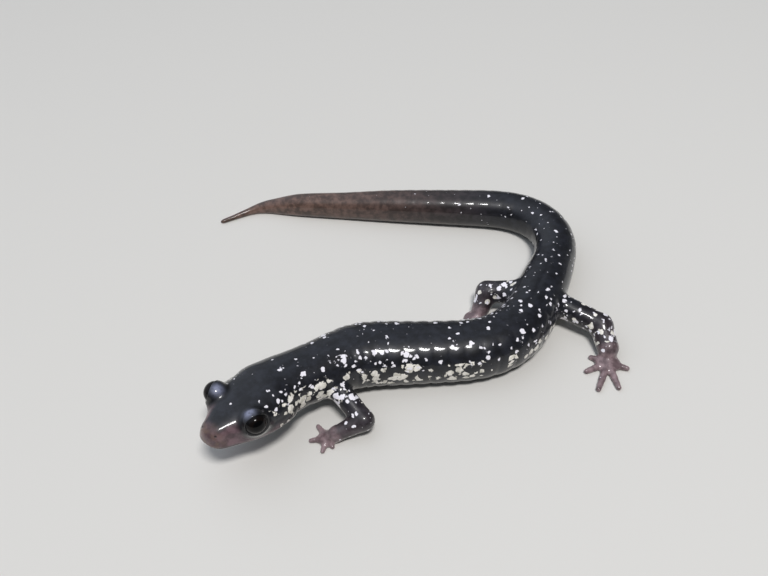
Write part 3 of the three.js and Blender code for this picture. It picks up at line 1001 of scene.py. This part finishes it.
# A living amphibian's skin: smooth and black under a film of water, so it mirrors lights sharply over a
# soft sheen.
def makeSkinMaterial():
    material, tree = newMaterial("wetAmphibianSkin")
    look = skinLook

    def calc(operation, first, second, third=None, clamp=False):
        inputs = {0: first, 1: second}
        if third is not None:
            inputs[2] = third
        return addNode(tree, "ShaderNodeMath", inputs, operation=operation, use_clamp=clamp).outputs[0]

    def vector(operation, first, second):
        inputs = {0: first, ("Scale" if operation == "SCALE" else 1): second}
        return addNode(tree, "ShaderNodeVectorMath", inputs, operation=operation).outputs[0]

    def mark(name):
        return addNode(tree, "ShaderNodeAttribute", attribute_name=name).outputs["Fac"]

    def ramp(value, low, high):
        inputs = {"Value": value, "From Min": low, "From Max": high}
        return addNode(tree, "ShaderNodeMapRange", inputs, interpolation_type="SMOOTHSTEP").outputs["Result"]

    def noise(place, size, detail=2.0, roughness=0.5):
        inputs = {"Vector": place, "Scale": 1 / size, "Detail": detail, "Roughness": roughness}
        return addNode(tree, "ShaderNodeTexNoise", inputs)

    # inputs 6 and 7 of the node are its two colours
    def mix(share, first, second):
        return addNode(tree, "ShaderNodeMix", {0: share, 6: first, 7: second}, data_type="RGBA").outputs[2]

    def warp(place, kind):
        for size, amount in look[kind]:
            offset = vector("SUBTRACT", noise(place, size).outputs["Color"], (0.5, 0.5, 0.5))
            place = vector("ADD", place, vector("SCALE", offset, amount))
        return place

    def moved(place, kind):
        return vector("ADD", place, look["shifts"][kind])

    def mottled(kind):
        dark, light = look[kind]
        return mix(mottle, tone(dark), tone(light))

    # Each cell of the pattern holds one spot of its own size, if the cell's number is under the density.
    def spots(kind, place, density, melt=0.0):
        spacing, small, large = look[kind]
        inputs = {"Vector": place, "Scale": 1 / spacing}
        if melt:
            inputs["Smoothness"] = melt
        feature = "SMOOTH_F1" if melt else "F1"
        cells = addNode(tree, "ShaderNodeTexVoronoi", inputs, feature=feature)
        own = addNode(tree, "ShaderNodeSeparateColor", {0: cells.outputs["Color"]})
        size = calc("MULTIPLY_ADD", calc("POWER", own.outputs[0], 1.5), large - small, small)
        crowded = calc("SUBTRACT", density, 1.0, clamp=True)  # past one, the spots only grow
        size = calc("MULTIPLY_ADD", crowded, look["swell"], size)
        there = calc("MULTIPLY", calc("SUBTRACT", density, own.outputs[1]), 6.0, clamp=True)
        inside = calc("SUBTRACT", calc("MULTIPLY", size, there), cells.outputs["Distance"])
        inside = calc("ADD", inside, calc("MULTIPLY", jagged, look["jagged"] / spacing))
        soft = ramp(inside, 0.0, look["edge"] / spacing)
        return calc("MULTIPLY", soft, calc("GREATER_THAN", there, 0.05))

    place = vector("SCALE", addNode(tree, "ShaderNodeTexCoord").outputs["Object"], 1 / mm)
    ragged = warp(place, "ragged")
    torn = warp(place, "torn")
    jagged = calc("SUBTRACT", noise(place, 0.5, 1.5).outputs["Fac"], 0.51)
    patchy = noise(moved(place, "patches"), look["patchSize"], 1).outputs["Fac"]
    patches = ramp(patchy, 0.38, 0.58)

    flecks = spots("flecks", ragged, calc("MULTIPLY", mark("flecks"), ramp(patchy, 0.15, 0.4)))
    specks = spots("specks", moved(ragged, "specks"), mark("specks"))
    grouped = calc("MAXIMUM", patches, calc("MULTIPLY", mark("limbs"), look["limbSpots"]))
    grouped = calc("MULTIPLY", mark("clusters"), grouped)
    clusters = spots("clusters", moved(ragged, "clusters"), grouped, look["melt"])
    broken = noise(moved(torn, "fields"), look["blotchField"], 1).outputs["Fac"]
    fields = ramp(broken, 0.39, 0.52)
    pale = calc("ADD", mark("blotches"), calc("SUBTRACT", fields, 1.0))
    blotches = spots("blotches", ragged, pale, look["melt"])

    mottle = ramp(noise(place, 1.4, 4, 0.6).outputs["Fac"], 0.35, 0.7)
    fine = noise(place, 0.22, 2).outputs["Fac"]
    broad = noise(place, 0.9, 2).outputs["Fac"]
    # the underside: the real belly's dark slate, made darker as painted shade
    colour = mix(mark("belly"), mottled("black"), tone(look["belly"]))
    for kind in ("brown", "purple", "paw"):
        colour = mix(mark(kind), colour, mottled(kind))
    colour = mix(calc("MULTIPLY", mark("tan"), ramp(broad, 0.25, 0.75)), colour, tone(look["tan"]))
    # near-black round the eye: partly the real black lids, partly painted shade
    colour = mix(mark("socket"), colour, tone(look["socket"]))
    # painted reflection of the sky on the upper lid, broken up by noise
    lidReflectionShare = calc("MULTIPLY", mark("lid"), ramp(noise(place, 0.5, 3).outputs["Fac"], 0.0, 0.6))
    colour = mix(lidReflectionShare, colour, tone(look["lid"]))
    # near-black inside the nostril: painted shade in the hole
    colour = mix(mark("pit"), colour, tone(look["pit"]))
    cream = mix(ramp(broad, 0.35, 0.65), tone(look["blotch"][1]), tone(look["blotch"][0]))
    colour = mix(blotches, colour, cream)
    white = calc("MAXIMUM", calc("MAXIMUM", flecks, clusters), specks)
    colour = mix(white, colour, tone(look["fleck"]))

    grain = calc("MULTIPLY_ADD", broad, 1.6, fine)
    bump = addNode(tree, "ShaderNodeBump", {"Height": grain, "Strength": 0.22, "Distance": 0.05 * mm})
    finishMaterial(tree, {
        "Base Color": colour,
        "Roughness": 0.42,
        "IOR": 1.4,
        "Specular IOR Level": 0.4,
        "Coat Weight": 1.0,
        "Coat Roughness": 0.08,
        "Coat IOR": 1.33,
        "Normal": bump.outputs[0],
    })
    return material


# A wet cornea over an eye that is black but for a dark brown iris.
def makeEyeMaterial():
    material, tree = newMaterial("wetEye")
    angle = addNode(tree, "ShaderNodeAttribute", attribute_name="fromPupil").outputs["Fac"]
    ramp = addNode(tree, "ShaderNodeValToRGB", {"Fac": angle})
    pupilRim, irisRim = eyeball["rims"]
    stops = (
        (0.0, "#030304"),
        (eyeball["pupil"], "#040405"),
        (eyeball["pupil"] + pupilRim, "#120c0a"),
        (eyeball["iris"], "#0e0b0b"),
        (eyeball["iris"] + irisRim, "#060608"),
    )
    while len(ramp.color_ramp.elements) < len(stops):
        ramp.color_ramp.elements.new(0.5)
    for element, (position, code) in zip(ramp.color_ramp.elements, stops):
        element.position = position
        element.color = tone(code)
    finishMaterial(tree, {
        "Base Color": ramp.outputs["Color"],
        "Roughness": 0.2,
        "Specular IOR Level": 0.05,
        "Coat Weight": 0.45,
        "Coat Roughness": 0.02,
        "Coat IOR": 1.36,
    })
    return material


skin.data.materials.append(makeSkinMaterial())
eyeMaterial = makeEyeMaterial()
for ball in eyes.values():
    ball.data.materials.append(eyeMaterial)
print("materials made")


# Floor, lights and camera

stage = {
    "floorRadius": 0.7,
    "floorSides": 128,
    "floor": "#d5d3ce",
    "cameraPlace": (-3.5, -93.3, 105),  # on the plan that the animal's own measures use
    "pitch": 46.0,
    "fieldOfView": 50.0,
    "sensor": 36.0,
    # place and size in metres, power in watts, colour
    "lights": {
        "keyLight": ((0.0875, -0.3125, 0.85), (0.275, 0.1375), 6.1, (1.0, 0.985, 0.98)),
    },
    "room": (0.1, 0.105, 0.11, 1),
    "sky": (0.72, 0.78, 0.88, 1),
    "skyFrom": (-0.6, 0.3, 0.74),
    "skyEdge": 0.35,  # the cosine of the angle from there at which the sky fades into the room
    "backdrop": (0.57, 0.57, 0.56, 1),  # behind the floor, seen but not mirrored
}


def makeFloor():
    radius, sides = stage["floorRadius"], stage["floorSides"]
    mesh = bpy.data.meshes.new("floor")
    turns = [2 * math.pi * n / sides for n in range(sides)]
    corners = [(radius * math.cos(turn), radius * math.sin(turn), 0) for turn in turns]
    mesh.from_pydata(corners, [], [range(sides)])
    floor = bpy.data.objects.new("floor", mesh)
    bpy.context.scene.collection.objects.link(floor)
    material, tree = newMaterial("paleFloor")  # matt painted board
    finishMaterial(tree, {"Base Color": tone(stage["floor"]), "Roughness": 0.85})
    mesh.materials.append(material)


def makeLight(name, place, size, power, colour):
    light = bpy.data.lights.new(name, "AREA")
    light.shape = "ELLIPSE"
    light.size, light.size_y = size
    light.energy = power
    light.color = colour
    lamp = bpy.data.objects.new(name, light)
    lamp.location = place
    lamp.rotation_euler = (-Vector(place)).to_track_quat("-Z", "Y").to_euler()
    bpy.context.scene.collection.objects.link(lamp)


def makeStage():
    makeFloor()
    for name, values in stage["lights"].items():
        makeLight(name, *values)
    world = bpy.data.worlds.new("studio")
    bpy.context.scene.world = world
    world.use_nodes = True
    tree = world.node_tree
    direction = addNode(tree, "ShaderNodeTexCoord").outputs["Generated"]
    inputs = {0: direction, 1: stage["skyFrom"]}
    facing = addNode(tree, "ShaderNodeVectorMath", inputs, operation="DOT_PRODUCT").outputs["Value"]
    inputs = {"Value": facing, "From Min": stage["skyEdge"], "From Max": 1.0}
    share = addNode(tree, "ShaderNodeMapRange", inputs, interpolation_type="SMOOTHSTEP").outputs["Result"]
    inputs = {0: share, 6: stage["room"], 7: stage["sky"]}
    light = addNode(tree, "ShaderNodeMix", inputs, data_type="RGBA").outputs[2]
    seen = addNode(tree, "ShaderNodeLightPath").outputs["Is Camera Ray"]
    shown = addNode(tree, "ShaderNodeMix", {0: seen, 6: light, 7: stage["backdrop"]}, data_type="RGBA")
    tree.links.new(shown.outputs[2], tree.nodes["Background"].inputs["Color"])
    bpy.context.scene.view_settings.view_transform = "Standard"


def makeCamera():
    lens = bpy.data.cameras.new("camera")
    lens.sensor_width = stage["sensor"]
    lens.lens = stage["sensor"] / 2 / math.tan(math.radians(stage["fieldOfView"] / 2))
    lens.clip_start = 0.001
    lens.clip_end = 20
    camera = bpy.data.objects.new("camera", lens)
    camera.location = (np.array(stage["cameraPlace"]) + shift) * mm
    camera.rotation_euler = (math.radians(90 - stage["pitch"]), 0, 0)
    bpy.context.scene.collection.objects.link(camera)
    bpy.context.scene.camera = camera


makeStage()
makeCamera()
print("stage made")

flesh = [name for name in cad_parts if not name.startswith("eye_")]
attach(skin, "root")
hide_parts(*flesh)
for name, ball in eyes.items():
    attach(ball, "root")
    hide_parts("eye_" + name)
